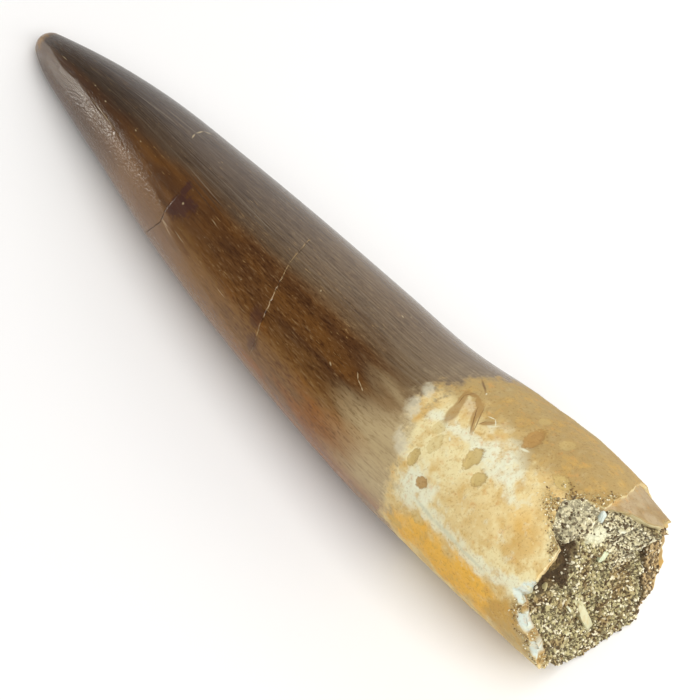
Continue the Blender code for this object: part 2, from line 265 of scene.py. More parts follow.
def smooth_value(points, column, x):
    """Values of one column at x, on a smooth curve through points sorted by their first column."""
    knots = np.array([point[0] for point in points])
    values = np.array([point[column] for point in points])
    run = np.diff(knots)
    rise = np.diff(values) / run
    middle_slopes = (rise[:-1] * run[1:] + rise[1:] * run[:-1]) / (run[:-1] + run[1:])
    slope = np.concatenate((rise[:1], middle_slopes, rise[-1:]))
    at = np.clip(np.searchsorted(knots, x, side="right") - 1, 0, len(run) - 1)
    t = (x - knots[at]) / run[at]
    rest = 1 - t
    return (rest ** 2 * (1 + 2 * t) * values[at] + t * rest ** 2 * run[at] * slope[at]
            + t ** 2 * (3 - 2 * t) * values[at + 1] - t ** 2 * rest * run[at] * slope[at + 1])


def ring_value(points, around):
    """Values at angles, on straight lines between points that go once around the tooth."""
    angles, values = zip(*points)
    return np.interp(around, angles, values, period=360)


def half_width(along):
    return smooth_value(SECTIONS, 1, along)


def surface_places(along, around, inward=0.0):
    """Places on the tooth's smooth outer form, or that many mm inside it."""
    full = half_width(along)
    left = 1 - np.clip(along / TIP_ROUNDING, 0, 1)
    half = full * np.sqrt(1 - left ** 2) - inward
    angle = np.radians(around)
    y = smooth_value(SECTIONS, 2, along) + half * np.cos(angle)
    z = HEIGHT_TO_WIDTH * (full + half * np.sin(angle)) - REST_FLAT
    return np.stack((TIP_X + along, y, np.maximum(z, 0)), axis=-1)


def middle_place(along):
    y = smooth_value(SECTIONS, 2, along)
    z = HEIGHT_TO_WIDTH * half_width(along) - REST_FLAT
    return np.array((TIP_X + along, y, z))


def read_at(places, measure):
    """What a measure gives at each place."""
    values = [measure(place) for place in places.reshape(-1, 3).tolist()]
    return np.array(values).reshape(places.shape[:-1])


def field(places, size, octaves=1, shift=0.0):
    """Smooth noise of about -1 to 1 at each place, its features that many mm across."""
    return read_at(places / size + shift, lambda place: noise.fractal(place, 0.9, 2.0, octaves))


def cells(places, size):
    """Distance to the nearest of scattered points, in cell sizes, at each place."""
    return read_at(places / size, lambda place: noise.voronoi(place)[0][0])


def ease(value, start, end):
    """0 before start and 1 past end, with a smooth rise or fall between them."""
    share = np.clip((value - start) / (end - start), 0, 1)
    return share * share * (3 - 2 * share)


def turned_from(around, middle):
    """Angle from a middle one, between -180 and 180."""
    return (around - middle + 180) % 360 - 180


def angle_off(around, middle):
    """Angle from a middle one, whichever way it lies."""
    return np.abs(turned_from(around, middle))


def from_oval(along, around, mark):
    """Distance from the middle of an oval mark, 1 at its rim."""
    middle_along, middle_around, length, width, turn = mark
    forward = along - middle_along
    sideways = np.radians(turned_from(around, middle_around)) * half_width(middle_along)
    angle = math.radians(turn)
    lengthwise = forward * math.cos(angle) + sideways * math.sin(angle)
    across = sideways * math.cos(angle) - forward * math.sin(angle)
    return np.hypot(lengthwise / (length / 2), across / (width / 2))


def from_line(along, around, line):
    """Distance in mm, over the surface, from a line through places given as along, around."""
    nearest = np.full(along.shape, 99.0)
    for (start_along, start_around), (end_along, end_around) in zip(line, line[1:]):
        arc = math.radians(1) * half_width((start_along + end_along) / 2)
        forward, sideways = along - start_along, turned_from(around, start_around) * arc
        run, swing = end_along - start_along, (end_around - start_around) * arc
        share = np.clip((forward * run + sideways * swing) / (run ** 2 + swing ** 2), 0, 1)
        nearest = np.minimum(nearest, np.hypot(forward - share * run, sideways - share * swing))
    return nearest


def root_lump(along, around):
    """How far the uneven root surface lies inside its smooth form. It rests on an even strip."""
    places = surface_places(along, around)
    rise = np.clip((along - 55) / 8, 0, 1)
    clear_of_rest = np.clip(4 + 4 * np.sin(np.radians(around)), 0, 1)
    return ROOT_LUMPS * rise * clear_of_rest * (0.5 + 0.5 * field(places, 1 / 0.45))


def ring_noise(around, size, shift):
    angle = np.radians(around)
    ring = np.stack((np.cos(angle), np.sin(angle), 0 * angle), axis=-1) * STREAK_RADIUS
    return field(ring, size, 3, shift)


def outer_break(around):
    return ring_value(OUTER_BREAK, around) + ring_value(RAGGEDNESS, around) * ring_noise(around, 1.0, 3.0)


def inner_break(around):
    layer = ring_value(INNER_LAYER, around)
    ragged = 0.4 * ring_value(RAGGEDNESS, around) * ring_noise(around, 0.8, 8.0) * ease(layer, 0.0, 0.1)
    return outer_break(around) + layer + ragged


def hollow_inward(along, around):
    """Depth of the hollow's wall under the outer surface, thick at the hollow's floor."""
    share = np.clip((along - HOLLOW_FLOOR) / (inner_break(around) - HOLLOW_FLOOR), 0, 1)
    return half_width(along) - (half_width(along) - WALL) * share ** HOLLOW_BLUNTNESS


# ---------- meshes ----------

def skin(rings, start, end, attributes, name):
    """A closed mesh over rings of places from start to end, with values kept at each place."""
    rows, columns = rings.shape[:2]
    places = np.concatenate((rings.reshape(-1, 3), start[None], end[None]))
    row, column = np.meshgrid(np.arange(rows - 1), np.arange(columns), indexing="ij")
    following = (column + 1) % columns
    quads = np.stack((row * columns + column, row * columns + following,
                      (row + 1) * columns + following, (row + 1) * columns + column), axis=-1)
    k = np.arange(columns)
    n = (k + 1) % columns
    first, last = rows * columns, rows * columns + 1
    top = (rows - 1) * columns
    faces = quads.reshape(-1, 4).tolist()
    faces += np.stack((0 * k + first, n, k), axis=-1).tolist()
    faces += np.stack((0 * k + last, top + k, top + n), axis=-1).tolist()
    mesh = bpy.data.meshes.new(name)
    mesh.from_pydata(places.tolist(), [], faces)
    for label, values in attributes.items():
        ends = (values[0, :1].reshape(1, -1), values[-1, :1].reshape(1, -1))
        keep_values(mesh, label, np.concatenate((values.reshape(rows * columns, -1), *ends)))
    return mesh


def keep_values(mesh, label, values):
    """Stores numbers, vectors or colours at a mesh's points."""
    width = values.shape[1]
    kind, slot = {1: ('FLOAT', "value"), 3: ('FLOAT_VECTOR', "vector"), 4: ('FLOAT_COLOR', "color")}[width]
    attribute = mesh.attributes.new(label, kind, 'POINT')
    attribute.data.foreach_set(slot, np.ascontiguousarray(values, dtype=np.float32).ravel())


def as_colour(paint):
    return np.concatenate((np.clip(paint, 0, 1), np.ones(paint.shape[:-1] + (1,))), axis=-1)


def put_in_scene(name, data):
    made = bpy.data.objects.new(name, data)
    bpy.context.scene.collection.objects.link(made)
    return made


def add_piece(name, mesh, finish):
    """A finished piece in metres that goes with the tooth."""
    mesh.transform(Matrix.Scale(MM, 4))
    mesh.materials.clear()
    mesh.materials.append(finish)
    piece = put_in_scene(name, mesh)
    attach(piece, "root")
    return piece


# ---------- the tooth ----------

def lay(paint, *coats):
    """The paint with coats laid over it in turn, each a colour and its amount, 0 to 1, at each place."""
    for colour, amount in coats:
        paint = paint + (colour - paint) * np.clip(amount, 0, 1)[..., None]
    return paint


def tooth_rings():
    """Along and depth of each row of the skin, from the tip to the hollow's floor."""
    around = np.arange(COLUMNS) * (360 / COLUMNS)
    rounds = TIP_ROUNDING * (1 - np.cos(np.radians(np.linspace(7, 90, TIP_ROWS))))
    upper, lower = crack_line(UPPER_CRACK, around), crack_line(LOWER_CRACK, around)
    edge, outer, inner = ring_value(ENAMEL_EDGE, around), outer_break(around), inner_break(around)
    rows = [(along, 0) for along in rounds]

    def spread(start, end, count):
        for share in np.arange(1, count + 1) / (count + 1):
            rows.append((start + (end - start) * share, 0))

    def step_over(line):
        for step in CRACK_STEPS:
            rows.append((line + step, 0))

    spread(TIP_ROUNDING, upper + CRACK_STEPS[0], UPPER_ROWS)
    step_over(upper)
    spread(upper + CRACK_STEPS[-1], lower + CRACK_STEPS[0], MIDDLE_ROWS)
    step_over(lower)
    spread(lower + CRACK_STEPS[-1], edge, LOWER_ROWS)
    spread(edge, outer, ROOT_ROWS)
    for depth in np.linspace(0, LAYER, 4):
        rows.append((outer, depth))
    for share in np.linspace(0.06, 1, 14):
        rows.append((outer + (inner - outer) * share, LAYER + 0.02))
    undercut = ring_value(UNDERCUT, around)
    for share in np.linspace(0.15, 1, 6):
        rows.append((inner - undercut * share ** 1.5, LAYER + share * (WALL - LAYER)))
    for share in WALL_ROWS:
        along = HOLLOW_FLOOR + share * (inner - undercut - HOLLOW_FLOOR)
        rows.append((along, hollow_inward(along, around)))
    along, inward = (np.array([part + 0 * around for part in column]) for column in zip(*rows))
    return along, np.broadcast_to(around, along.shape), inward


def crack_line(line, around):
    """Where a crack runs, with its small kinks."""
    return ring_value(line, around) + CRACK_WAVER * ring_noise(around, 0.45, 21.0)


def crack_masks(along, around):
    """How open each crack is at each place, 0 to 1."""
    masks = []
    for line, opening in ((UPPER_CRACK, UPPER_CRACK_OPEN), (LOWER_CRACK, LOWER_CRACK_OPEN)):
        distance = np.abs(along - crack_line(line, around)) / CRACK_HALF_WIDTH
        masks.append((1 - ease(distance, 0.4, 1.5)) * ring_value(opening, around))
    return masks


def band_share(along, around, places):
    """1 on the smooth band along the tooth's -Y side, 0 off it."""
    start = np.interp(along, *zip(*BAND_BORDER))
    waver = 5 * field(places * (0.3, 1, 1), 1.5, 2, 15.0)
    return ease(around + waver, start - 4, start + 4) * ease(around, 300, 235)


def grey_sheen_share(along, around, swirl):
    """1 on the greyer, finely ridged side of the crown, 0 on its warm brown side. Its grey is partly
    painted sheen.
    """
    border = np.interp(along, *zip(*GREY_BORDER))
    turned = turned_from(around, 60) + 60
    return ease(turned + 9 * swirl, border + 7, border - 13) * ease(turned, -80, 0)


def enamel_paint(along, around, places):
    """Colours of the crown, from its grey-brown side over the brown middle to the tan band."""
    swirl = field(places * (0.25, 1, 1), 2.2, 3, 5.0)
    grey = lay(DEEP_GREY, (GREY_SHEEN_BROWN, ease(along + 3 * swirl, 12, 26)),
               (OLIVE_SHEEN_TAN, ease(along + 4 * swirl, 28, 44)))
    band = lay(BAND_BROWN, (BAND_SHEEN_TAN, ease(along + 2 * swirl, 10, 20)))
    gold = ease(along + 3 * swirl, 25, 33) * ease(around + 12 * swirl, 132, 152) * ease(around, 300, 235)
    amber = from_oval(along, around, (52, 182, 24, 8, 0)) + swirl
    upper_side = ease(around + 10 * swirl, 96, 118) * ease(around, 190, 165)
    bleached = upper_side * ease(along + 2 * swirl + 2 * ease(around, 118, 140), 50.7, 57.5)
    from_tip = along + 1.5 * swirl + 0.8 * field(places, 0.5, 3, 8.0)
    upper, lower = crack_masks(along, around)
    dashes = 0.55 + 2.2 * field(places, 0.4, 2, 9.0)
    return lay(
        BROWN,
        (DEEP_BROWN, 0.4 + 1.2 * swirl + 0.25 * ease(along, 26, 14)),
        (DARK_TIP, 0.75 * ease(along + 3 * swirl, 22, 12)),
        # the crown's grey side: its own grey-brown tone with painted sheen laid into the colour
        (grey, 0.9 * grey_sheen_share(along, around, swirl)),
        # the tan band: lighter enamel with painted sheen in its colour
        (band, 0.9 * band_share(along, around, places)),
        (GOLD_BROWN, 0.85 * gold),
        (AMBER, 0.95 * ease(amber, 1.3, 0.6)),
        (JUNCTION_TAN, np.maximum(0.95 * bleached, 0.15 * ease(along + 3 * swirl, 50, 58))),
        (WORN_TIP, 0.6 * ease(from_tip, 1.6, 0.3)),
        (CRACK_DARK, 0.9 * upper),
        (CRACK_DARK, 0.5 * lower),
        (CRACK_PALE, lower * np.clip(dashes, 0, 0.95)),
    )


def tan_share(around, mottle):
    """1 on the evenly tan side of the root, 0 on its cream side."""
    turned = turned_from(around, 55)
    return ease(turned + 14 * mottle, 42, 24) * ease(turned, -90, -50)


def orange_share(around):
    """Nearly 1 on the low orange strip of the root."""
    return 0.75 * ease(angle_off(around, 180), 24, 10)


def root_paint(along, around, places, inward):
    """Colours of the bare root, of its broken edge and of its hollow."""
    mottle = field(places, 2.4, 3, 2.0)
    fine = field(places, 0.7, 3, 7.0)
    waver = 0.7 * mottle + 0.25 * fine
    ochre = 0.55 * ease(waver, -0.05, 0.4)
    paint = lay(CREAM, (OCHRE, ochre), (ROOT_TAN, 0.85 * tan_share(around, mottle)))
    for zone, colour, amount in ROOT_ZONES:
        distance = from_oval(along, around, zone) + 0.9 * waver
        paint = lay(paint, (colour, amount * ease(distance, 1.2, 0.5)))
    for line, width, colour, amount in ROOT_WISPS:
        distance = from_line(along, around, line) + 0.7 * width * fine
        paint = lay(paint, (colour, amount * ease(distance, 1.4 * width, 0.4 * width)))
    return broken_paint(paint, along, around, inward, fine, field(places, 1.3, 2, 14.0))


def broken_paint(paint, along, around, inward, fine, broad):
    """The root's paint with the colours of its broken edge, inner layer and hollow laid over it."""
    from_low_side = angle_off(around, LOW_SIDE)
    inner_layer = ease(inward, 0.2, LAYER) * ease(along - inner_break(around), 0.05, -0.1)
    snapped = ease(inward, 0.03, 0.12) * ease(along - outer_break(around), -0.3, -0.05)
    chipped = ease(ring_value(RIM_CHIPS, around), 0.1, 0.4) * ease(angle_off(around, 165), 34, 30)
    edge_colour = lay(
        EDGE_CREAM,
        (OCHRE, 0.25 * ease(fine, -0.1, 0.3)),
        (WALL_BROWN, ease(from_low_side, 34, 28)),
        (CHIP_BLUE, chipped),
        (CHIP_BLUE, ease(angle_off(around, 303), 7, 3)),
        (WALL_BROWN, ease(angle_off(around, 335), 34, 22)),
    )
    outer_edge = snapped * ease(inward, LAYER + 0.01, LAYER - 0.02) * ease(from_low_side, 34, 42)
    inner_edge = snapped * ease(inward, LAYER + 0.05, LAYER + 0.12)
    one_layer = snapped * ease(ring_value(INNER_LAYER, around), 0.09, 0.0)
    return lay(
        paint,
        (INNER_TAN, inner_layer),
        (SAND_BROWN, 0.55 * inner_layer * ease(broad, -0.1, 0.35)),
        (CHIP_BLUE, ease(rim_chip(along, around, fine), 0.0, 0.12) * ease(inward, 0.1, 0.0)),
        (edge_colour, np.maximum(np.clip(outer_edge + inner_edge, 0, 1), one_layer)),
        (WALL_BROWN, ease(inward, WALL + 0.02, WALL + 0.2)),
    )


def rim_chip(along, around, fine):
    """How deep the outside is chipped near the break, 0 to 1."""
    back = np.maximum(ring_value(RIM_CHIPS, around), 0.001)
    return np.clip((along + 0.12 * fine - outer_break(around) + back) / back, 0, 1) * ease(back, 0.02, 0.2)


def outer_relief(along, around, places, inward):
    """How far the worn surface lies inside the smooth form."""
    fine = field(places, 0.7, 3, 7.0)
    outside = ease(inward, 0.05, 0.0)
    depth = root_lump(along, around)
    rooty = ease(along - ring_value(ENAMEL_EDGE, around), -0.6, 1.5)
    resting = ease(np.sin(np.radians(around)), -0.75, -0.95)
    depth = depth + ROOT_GRAIN * rooty * (1 - resting) * (0.5 + fine)
    faint_depth = 0.4 * PIT_DEPTH * (1 - resting)
    for pits, deepest in ((PITS + BROWN_PITS, PIT_DEPTH), (FAINT_PITS, faint_depth)):
        for pit in pits:
            sunk = ease(from_oval(along, around, pit) + 0.12 * fine, 1.15, 0.8)
            depth = depth + outside * deepest * sunk
    for mask in crack_masks(along, around):
        depth = depth + CRACK_DEPTH * mask
    depth = depth + CHIP_DEPTH * rim_chip(along, around, fine) * ease(inward, CHIP_DEPTH, 0.0)
    broken = ease(inward, 0.1, 0.3)
    return depth + BREAK_GRAIN * broken * field(places, 0.6, 3, 4.0)


SAND_SPREAD = (  # around, how far back from the break the sand clings
    (60, 0.0), (68, 0.7), (84, 2.0), (100, 2.0), (112, 1.2), (122, 0.5), (130, 0.0),
    (148, 0.0), (158, 1.3), (174, 1.9), (186, 1.2), (196, 0.0),
)


def sand_on_margin(along, around, places, inward):
    """How much sand clings beside the gap in the wall and to the low part of the break, 0 to 1."""
    back = outer_break(around) - along
    spread = np.maximum(ring_value(SAND_SPREAD, around), 0.01)
    clumps = 0.5 + field(places, 0.8, 2, 17.0)
    outside = ease(back, 1.2 * spread, 0.3 * spread) * ease(spread, 0.05, 0.4) * ease(clumps, 0.05, 0.55)
    outside = outside * ease(inward, 0.1, 0.0) * ease(rim_chip(along, around, 0.0), 0.1, 0.0)
    whole = 1 - ease(ring_value(RIM_CHIPS, around), 0.0, 0.2)
    edge = ease(inward, 0.15, 0.4) * ease(inward, WALL + 0.3, WALL)
    low = ease(angle_off(around, LOW_SIDE), 40, 30)
    return np.maximum(outside, 0.8 * whole * edge * low)


def make_tooth(finish, sand_finish):
    along, around, inward = tooth_rings()
    smooth_places = surface_places(along, around, inward)
    depth = inward + outer_relief(along, around, smooth_places, inward)
    places = surface_places(along, around, depth)
    roughness_of_break = ease(inward, 0.05, 0.2) * ease(inward, WALL + 0.5, WALL)
    facets = 0.14 * field(smooth_places, 0.5, 2, 6.0) + 0.5 * (cells(smooth_places, 1.4) - 0.45)
    places[..., 0] += roughness_of_break * ring_value(RAGGEDNESS, around) / 0.3 * facets
    angle = np.radians(around)
    tan = tan_share(around, field(smooth_places, 2.4, 3, 2.0))
    attributes = {
        "wrap": np.stack((np.cos(angle) * STREAK_RADIUS, np.sin(angle) * STREAK_RADIUS, along), axis=-1),
        "polish": band_share(along, around, smooth_places),
        "ridged": grey_sheen_share(along, around, 0.0),
        "past_edge": along - ring_value(ENAMEL_EDGE, around) + WELL_PAST * ease(inward, 0.0, 0.05),
        "flecked": 1 - 0.85 * np.maximum(tan, orange_share(around)),
        "sandy": sand_on_margin(along, around, smooth_places, inward),
        "rock_paint": as_colour(np.broadcast_to(SAND, places.shape)),
        "enamel_paint": as_colour(enamel_paint(along, around, smooth_places)),
        "root_paint": as_colour(root_paint(along, around, smooth_places, inward)),
    }
    tip = surface_places(np.array(0.0), np.array(0.0))
    mesh = skin(places, tip, middle_place(HOLLOW_FLOOR), attributes, "tooth_skin")
    mesh.shade_smooth()
    mesh.set_sharp_from_angle(angle=math.radians(50))
    grains = sand_mesh(mesh, sand_finish, MARGIN_SAND)
    tooth = add_piece("tooth_skin", mesh, finish)
    add_piece("margin_sand", grains, sand_finish)
    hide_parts("tooth")


# ---------- the rock ----------

ROCK_COLUMNS = 264
WALL_SHARES = (0.12, 0.3, 0.55, 0.8)  # of the way from the hollow's floor to the break
RIM_RINGS = 10
FACE_RINGS = 64
# Marks on the rock's face, each a line from one place to another: sideways, height
RECESS = ((-2.1, 12.4), (-4.2, 10.2))
RECESS_RADIUS = 0.95
RECESS_DEPTH = 1.1
CREVICE = ((5.2, 9.4), (4.7, 5.3), (3.7, 2.3))
CREVICE_RADIUS = 0.28
CREVICE_DEPTH = 0.6
# The far side of the crevice: height, sideways
FAR_SIDE = ((0, 3.2), (2.3, 3.7), (5.3, 4.7), (9.4, 5.2), (14, 5.0))
WHITE_LUMP = ((-0.3, 13.0), (0.75, 12.1))
WHITE_RADIUS = 0.55
WHITE_HEIGHT = 0.25
PALE_SIDE = ((2.6, 12.4), (3.2, 8.6))
GREY_SAND = ((-2.4, 15.4), (-1.0, 14.4), (1.8, 14.6))
CHIPS = (  # sideways, height, size out of the face, across, lengthwise, turn, colour
    (-1.22, 4.8, 1.7, 0.72, 5.0, 16.5, SPLINTER_CREAM), (1.5, 14.4, 0.5, 0.42, 1.0, -20, CHIP_BLUE),
    (0.8, 10.1, 0.5, 0.75, 1.0, -40, PALE_GREEN), (-2.3, 10.1, 0.4, 0.16, 1.0, -48, SAND),
    (-4.1, 9.4, 0.4, 0.16, 0.9, -30, SAND), (-2.9, 7.4, 0.35, 0.18, 0.9, 20, CHALK),
    (2.2, 12.3, 0.35, 0.2, 0.8, 50, CHALK), (-3.4, 4.9, 0.35, 0.2, 0.8, 70, SPLINTER_CREAM),
)


def rock_relief(places):
    swell = field(places, 1 / 0.42)
    return ROCK_LUMPS * swell + CRUMB_RELIEF * (0.45 - cells(places, CRUMB_SIZE))


def rock_rim(around):
    return inner_break(around) + ring_value(ROCK_STANDS_OUT, around)


def rock_rim_inward(around):
    return WALL * (1 - ring_value(SPILL, around)) + 0.12


def rock_rings():
    """Rings of places from the hollow's floor along its wall, past the break and over the face."""
    around = np.arange(ROCK_COLUMNS) * (360 / ROCK_COLUMNS)
    rings = []
    for share in WALL_SHARES:
        along = HOLLOW_FLOOR + share * (ring_value(OUTER_BREAK, around) - 1.0 - HOLLOW_FLOOR)
        rings.append(surface_places(along, around, hollow_inward(along, around) + GAP + 0.05))
    start = np.minimum(inner_break(around) - 0.5, rock_rim(around) - 0.8)
    rings.append(surface_places(start - 0.3, around, WALL + 0.05))
    room = np.minimum(rock_rim(around) - start, 1.0)
    for share in np.linspace(0, 0.9, RIM_RINGS):
        along = start + share * (rock_rim(around) - start)
        bare = surface_places(along, around, rock_rim_inward(around))
        sink = 0.4 * room * (1 - abs(2 * share - 1)) * np.abs(rock_relief(bare))
        sink = sink + 0.08 * field(bare, 0.5, 2, 1.0)
        rings.append(surface_places(along, around, rock_rim_inward(around) + sink))
    lip = surface_places(rock_rim(around), around, rock_rim_inward(around) + 0.1)
    middle = middle_place(ROCK_MIDDLE)
    for share in np.linspace(0, 0.985, FACE_RINGS):
        rings.append(face_places(lip, middle, share))
    return np.array(rings)


def face_places(lip, middle, share):
    """Places on the rock's rough, slanting face, a share of the way from its lip to its middle."""
    places = lip + (middle - lip) * share
    plane_x = middle[0] - FACE_SLANT * (places[:, 2] - middle[2])
    roughness = min(0.15 + 2.5 * share, 1.0) * rock_relief(places)
    crumbs = 0.36 * (0.5 - cells(places, 0.85)) + 0.24 * (0.5 - cells(places + 5.0, 0.4))
    places[:, 0] = plane_x + (lip[:, 0] - plane_x) * (1 - share) ** 3 + roughness + crumbs
    for mark, radius, middle_radius, height in (
            (RECESS, 1.2 * RECESS_RADIUS, 0.3, -RECESS_DEPTH),
            (CREVICE, CREVICE_RADIUS, 0.05, -CREVICE_DEPTH),
            (WHITE_LUMP, WHITE_RADIUS, 0.3, WHITE_HEIGHT)):
        places[:, 0] += height * ease(from_mark(places, mark), radius, middle_radius)
    return places


def from_mark(places, line):
    """Distance in mm, seen along the tooth, from a line on the rock's face."""
    nearest = np.full(places.shape[:-1], 99.0)
    for start, end in zip(line, line[1:]):
        run = np.subtract(end, start)
        offset = places[..., 1:] - start
        share = np.clip(offset @ run / (run @ run), 0, 1)
        nearest = np.minimum(nearest, np.linalg.norm(offset - share[..., None] * run, axis=-1))
    return nearest


def beyond_crevice(places):
    """Distance in mm, across the rock's face, to the far side of its crevice."""
    return places[..., 1] - np.interp(places[..., 2], *zip(*FAR_SIDE))


def rock_colours(places):
    """Colours of the rock under its sand."""
    patches = field(places, 1.6, 3, 11.0)
    grey_sand = from_mark(places, GREY_SAND) + 0.5 * patches
    recess = from_mark(places, RECESS) + 0.5 * patches
    return lay(
        SAND,
        (SAND_BROWN, 0.7 * ease(patches, -0.1, 0.5)),
        (BEYOND_TAN, 0.85 * ease(beyond_crevice(places), -0.1, 0.2)),
        # painted shade along the crevice
        (SAND_DARK, 0.8 * ease(from_mark(places, CREVICE), 1.6 * CREVICE_RADIUS, 0.1)),
        (PALE_SAND, 0.85 * ease(grey_sand, 1.9, 1.2)),
        (PALE_SAND, 0.9 * ease(from_mark(places, PALE_SIDE) + 0.8 * patches, 2.2, 1.2)),
        (CHALK, 0.75 * white_share(places, patches)),
        # the recess under the wall's edge: darker matrix with painted shade
        (SHADED_RECESS_BROWN, 0.9 * ease(recess, 1.25 * RECESS_RADIUS, 0.7)),
    )


def white_share(places, patches):
    """1 on the white lump that carries little sand, 0 off it."""
    return ease(from_mark(places, WHITE_LUMP) + 0.7 * patches, WHITE_RADIUS + 0.2, WHITE_RADIUS - 0.3)


def make_chips(ground, finish):
    """Slivers of bone and shell that lie at places on the rock's face."""
    chips = bmesh.new()
    shade = chips.verts.layers.float_color.new("rock_paint")
    for number, (sideways, height, out, across, length, turn, colour) in enumerate(CHIPS):
        made = bmesh.ops.create_icosphere(chips, subdivisions=3, radius=0.5)["verts"]
        nearest = np.argmin(np.hypot(ground[:, 1] - sideways, ground[:, 2] - height))
        seat = Vector(ground[nearest]) + Vector((0.1, 0, 0))
        pose = Matrix.Translation(seat) @ Matrix.Rotation(math.radians(turn), 4, 'X')
        for vert in made:
            flat = Vector(math.copysign(abs(part) ** 0.6 * 0.758, part) for part in vert.co)
            worn = flat * (1 + 0.3 * noise.noise(vert.co * 3 + Vector((number, 0, 0))))
            vert.co = pose @ Vector((worn.x * out, worn.y * across, worn.z * length))
            vert[shade] = linear(colour)
    mesh = bpy.data.meshes.new("bone_chips")
    chips.to_mesh(mesh)
    chips.free()
    mesh.set_sharp_from_angle(angle=math.radians(35))
    add_piece("bone_chips", mesh, finish)


def make_rock(finish, sand_finish, chip_finish):
    rings = rock_rings()
    white = white_share(rings, field(rings, 1.6, 3, 11.0))
    on_face = (np.arange(len(rings)) > len(WALL_SHARES)).astype(float)[:, None] * np.ones(ROCK_COLUMNS)
    recess = ease(from_mark(rings, RECESS), 1.2 * RECESS_RADIUS, 0.4)
    bay = ease(from_mark(rings, GREY_SAND), 1.6, 0.9)
    beyond = ease(beyond_crevice(rings), 0.0, 0.3)
    # fewer grains on the white lump, in the painted shade of the recess, in the bay and beyond the crevice
    sandy = on_face * (1 - 0.9 * white) * (1 - 0.6 * recess) * (1 - 0.35 * bay) * (1 - 0.15 * beyond)
    attributes = {"rock_paint": as_colour(rock_colours(rings)), "sandy": sandy[..., None]}
    inner_end = middle_place(HOLLOW_FLOOR + GAP + 0.4)
    face_end = face_places(middle_place(ROCK_MIDDLE)[None].copy(), middle_place(ROCK_MIDDLE), 1.0)[0]
    mesh = skin(rings, inner_end, face_end, attributes, "rock")
    grains = sand_mesh(mesh, sand_finish, ROCK_SAND)
    rock = add_piece("rock", mesh, finish)
    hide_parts("matrix_plug")
    add_piece("sand_grains", grains, sand_finish)
    make_chips(rings[-FACE_RINGS:].reshape(-1, 3), chip_finish)


# ---------- nodes ----------

def linear(colour):
    return (*(float(part) for part in colour), 1.0)


def feed(socket, value):
    """Joins an input to another node's output, or sets it to a colour or another value."""
    if isinstance(value, bpy.types.NodeSocket):
        socket.id_data.links.new(value, socket)
    else:
        socket.default_value = linear(value) if isinstance(value, np.ndarray) else value


def add_node(tree, kind, inputs, output=0, **settings):
    """One output of a new node, which has its settings made and its inputs fed."""
    node = tree.nodes.new(kind)
    for setting, value in settings.items():
        setattr(node, setting, value)
    for label, value in inputs.items():
        feed(node.inputs[label], value)
    return node.outputs[output] if node.outputs else None


# ---------- sand ----------

def sand_tree():
    """Angular grains scattered over a surface, as many as its "sandy" values allow."""
    tree = bpy.data.node_groups.new("sand_on_rock", 'GeometryNodeTree')
    kinds = {"Rock": 'Geometry', "Spacing": 'Float', "Density": 'Float', "Smallest": 'Float',
             "Largest": 'Float', "Seed": 'Int', "Finish": 'Material'}
    for label, kind in kinds.items():
        tree.interface.new_socket(label, in_out='INPUT', socket_type='NodeSocket' + kind)
    tree.interface.new_socket("Grains", in_out='OUTPUT', socket_type='NodeSocketGeometry')
    given = tree.nodes.new('NodeGroupInput').outputs

    def add(kind, inputs, output=0, **settings):
        return add_node(tree, kind, inputs, output, **settings)

    sandy = add('GeometryNodeInputNamedAttribute', {"Name": "sandy"}, data_type='FLOAT')
    points = add('GeometryNodeDistributePointsOnFaces', {
        "Mesh": given["Rock"], "Distance Min": given["Spacing"], "Density Max": given["Density"],
        "Density Factor": sandy, "Seed": given["Seed"]}, distribute_method='POISSON')
    grain = add('GeometryNodeMeshIcoSphere', {"Subdivisions": 1, "Radius": 1.0})
    turn = add('FunctionNodeRandomValue', {"Max": (math.tau, math.tau, math.tau), "Seed": given["Seed"]},
               data_type='FLOAT_VECTOR')
    size = add('FunctionNodeRandomValue', {2: given["Smallest"], 3: given["Largest"]}, 1,
               data_type='FLOAT')
    shape = add('FunctionNodeRandomValue', {"Min": (0.6, 0.6, 0.9), "Max": (1.0, 1.0, 1.5)},
                data_type='FLOAT_VECTOR')
    scale = add('ShaderNodeVectorMath', {"Vector": shape, "Scale": size}, operation='SCALE')
    grains = add('GeometryNodeInstanceOnPoints', {
        "Points": points, "Instance": grain, "Rotation": turn, "Scale": scale})
    tone = add('FunctionNodeRandomValue', {"Seed": 5}, 1, data_type='FLOAT')
    grains = add('GeometryNodeStoreNamedAttribute', {"Geometry": grains, "Name": "tone", "Value": tone},
                 data_type='FLOAT', domain='INSTANCE')
    grains = add('GeometryNodeRealizeInstances', {"Geometry": grains})
    bumps = add('ShaderNodeTexNoise', {"Scale": 6.0}, "Color")
    centred = add('ShaderNodeVectorMath', {0: bumps, 1: (0.5, 0.5, 0.5)}, operation='SUBTRACT')
    dent = add('ShaderNodeVectorMath', {"Vector": centred, "Scale": 0.22}, operation='SCALE')
    grains = add('GeometryNodeSetPosition', {"Geometry": grains, "Offset": dent})
    grains = add('GeometryNodeSetMaterial', {"Geometry": grains, "Material": given["Finish"]})
    add('NodeGroupOutput', {"Grains": grains})
    return tree


ROCK_SAND = {"Spacing": 0.14, "Density": 36.0, "Smallest": 0.04, "Largest": 0.155, "Seed": 3}
MARGIN_SAND = {"Spacing": 0.09, "Density": 95.0, "Smallest": 0.025, "Largest": 0.085, "Seed": 4}


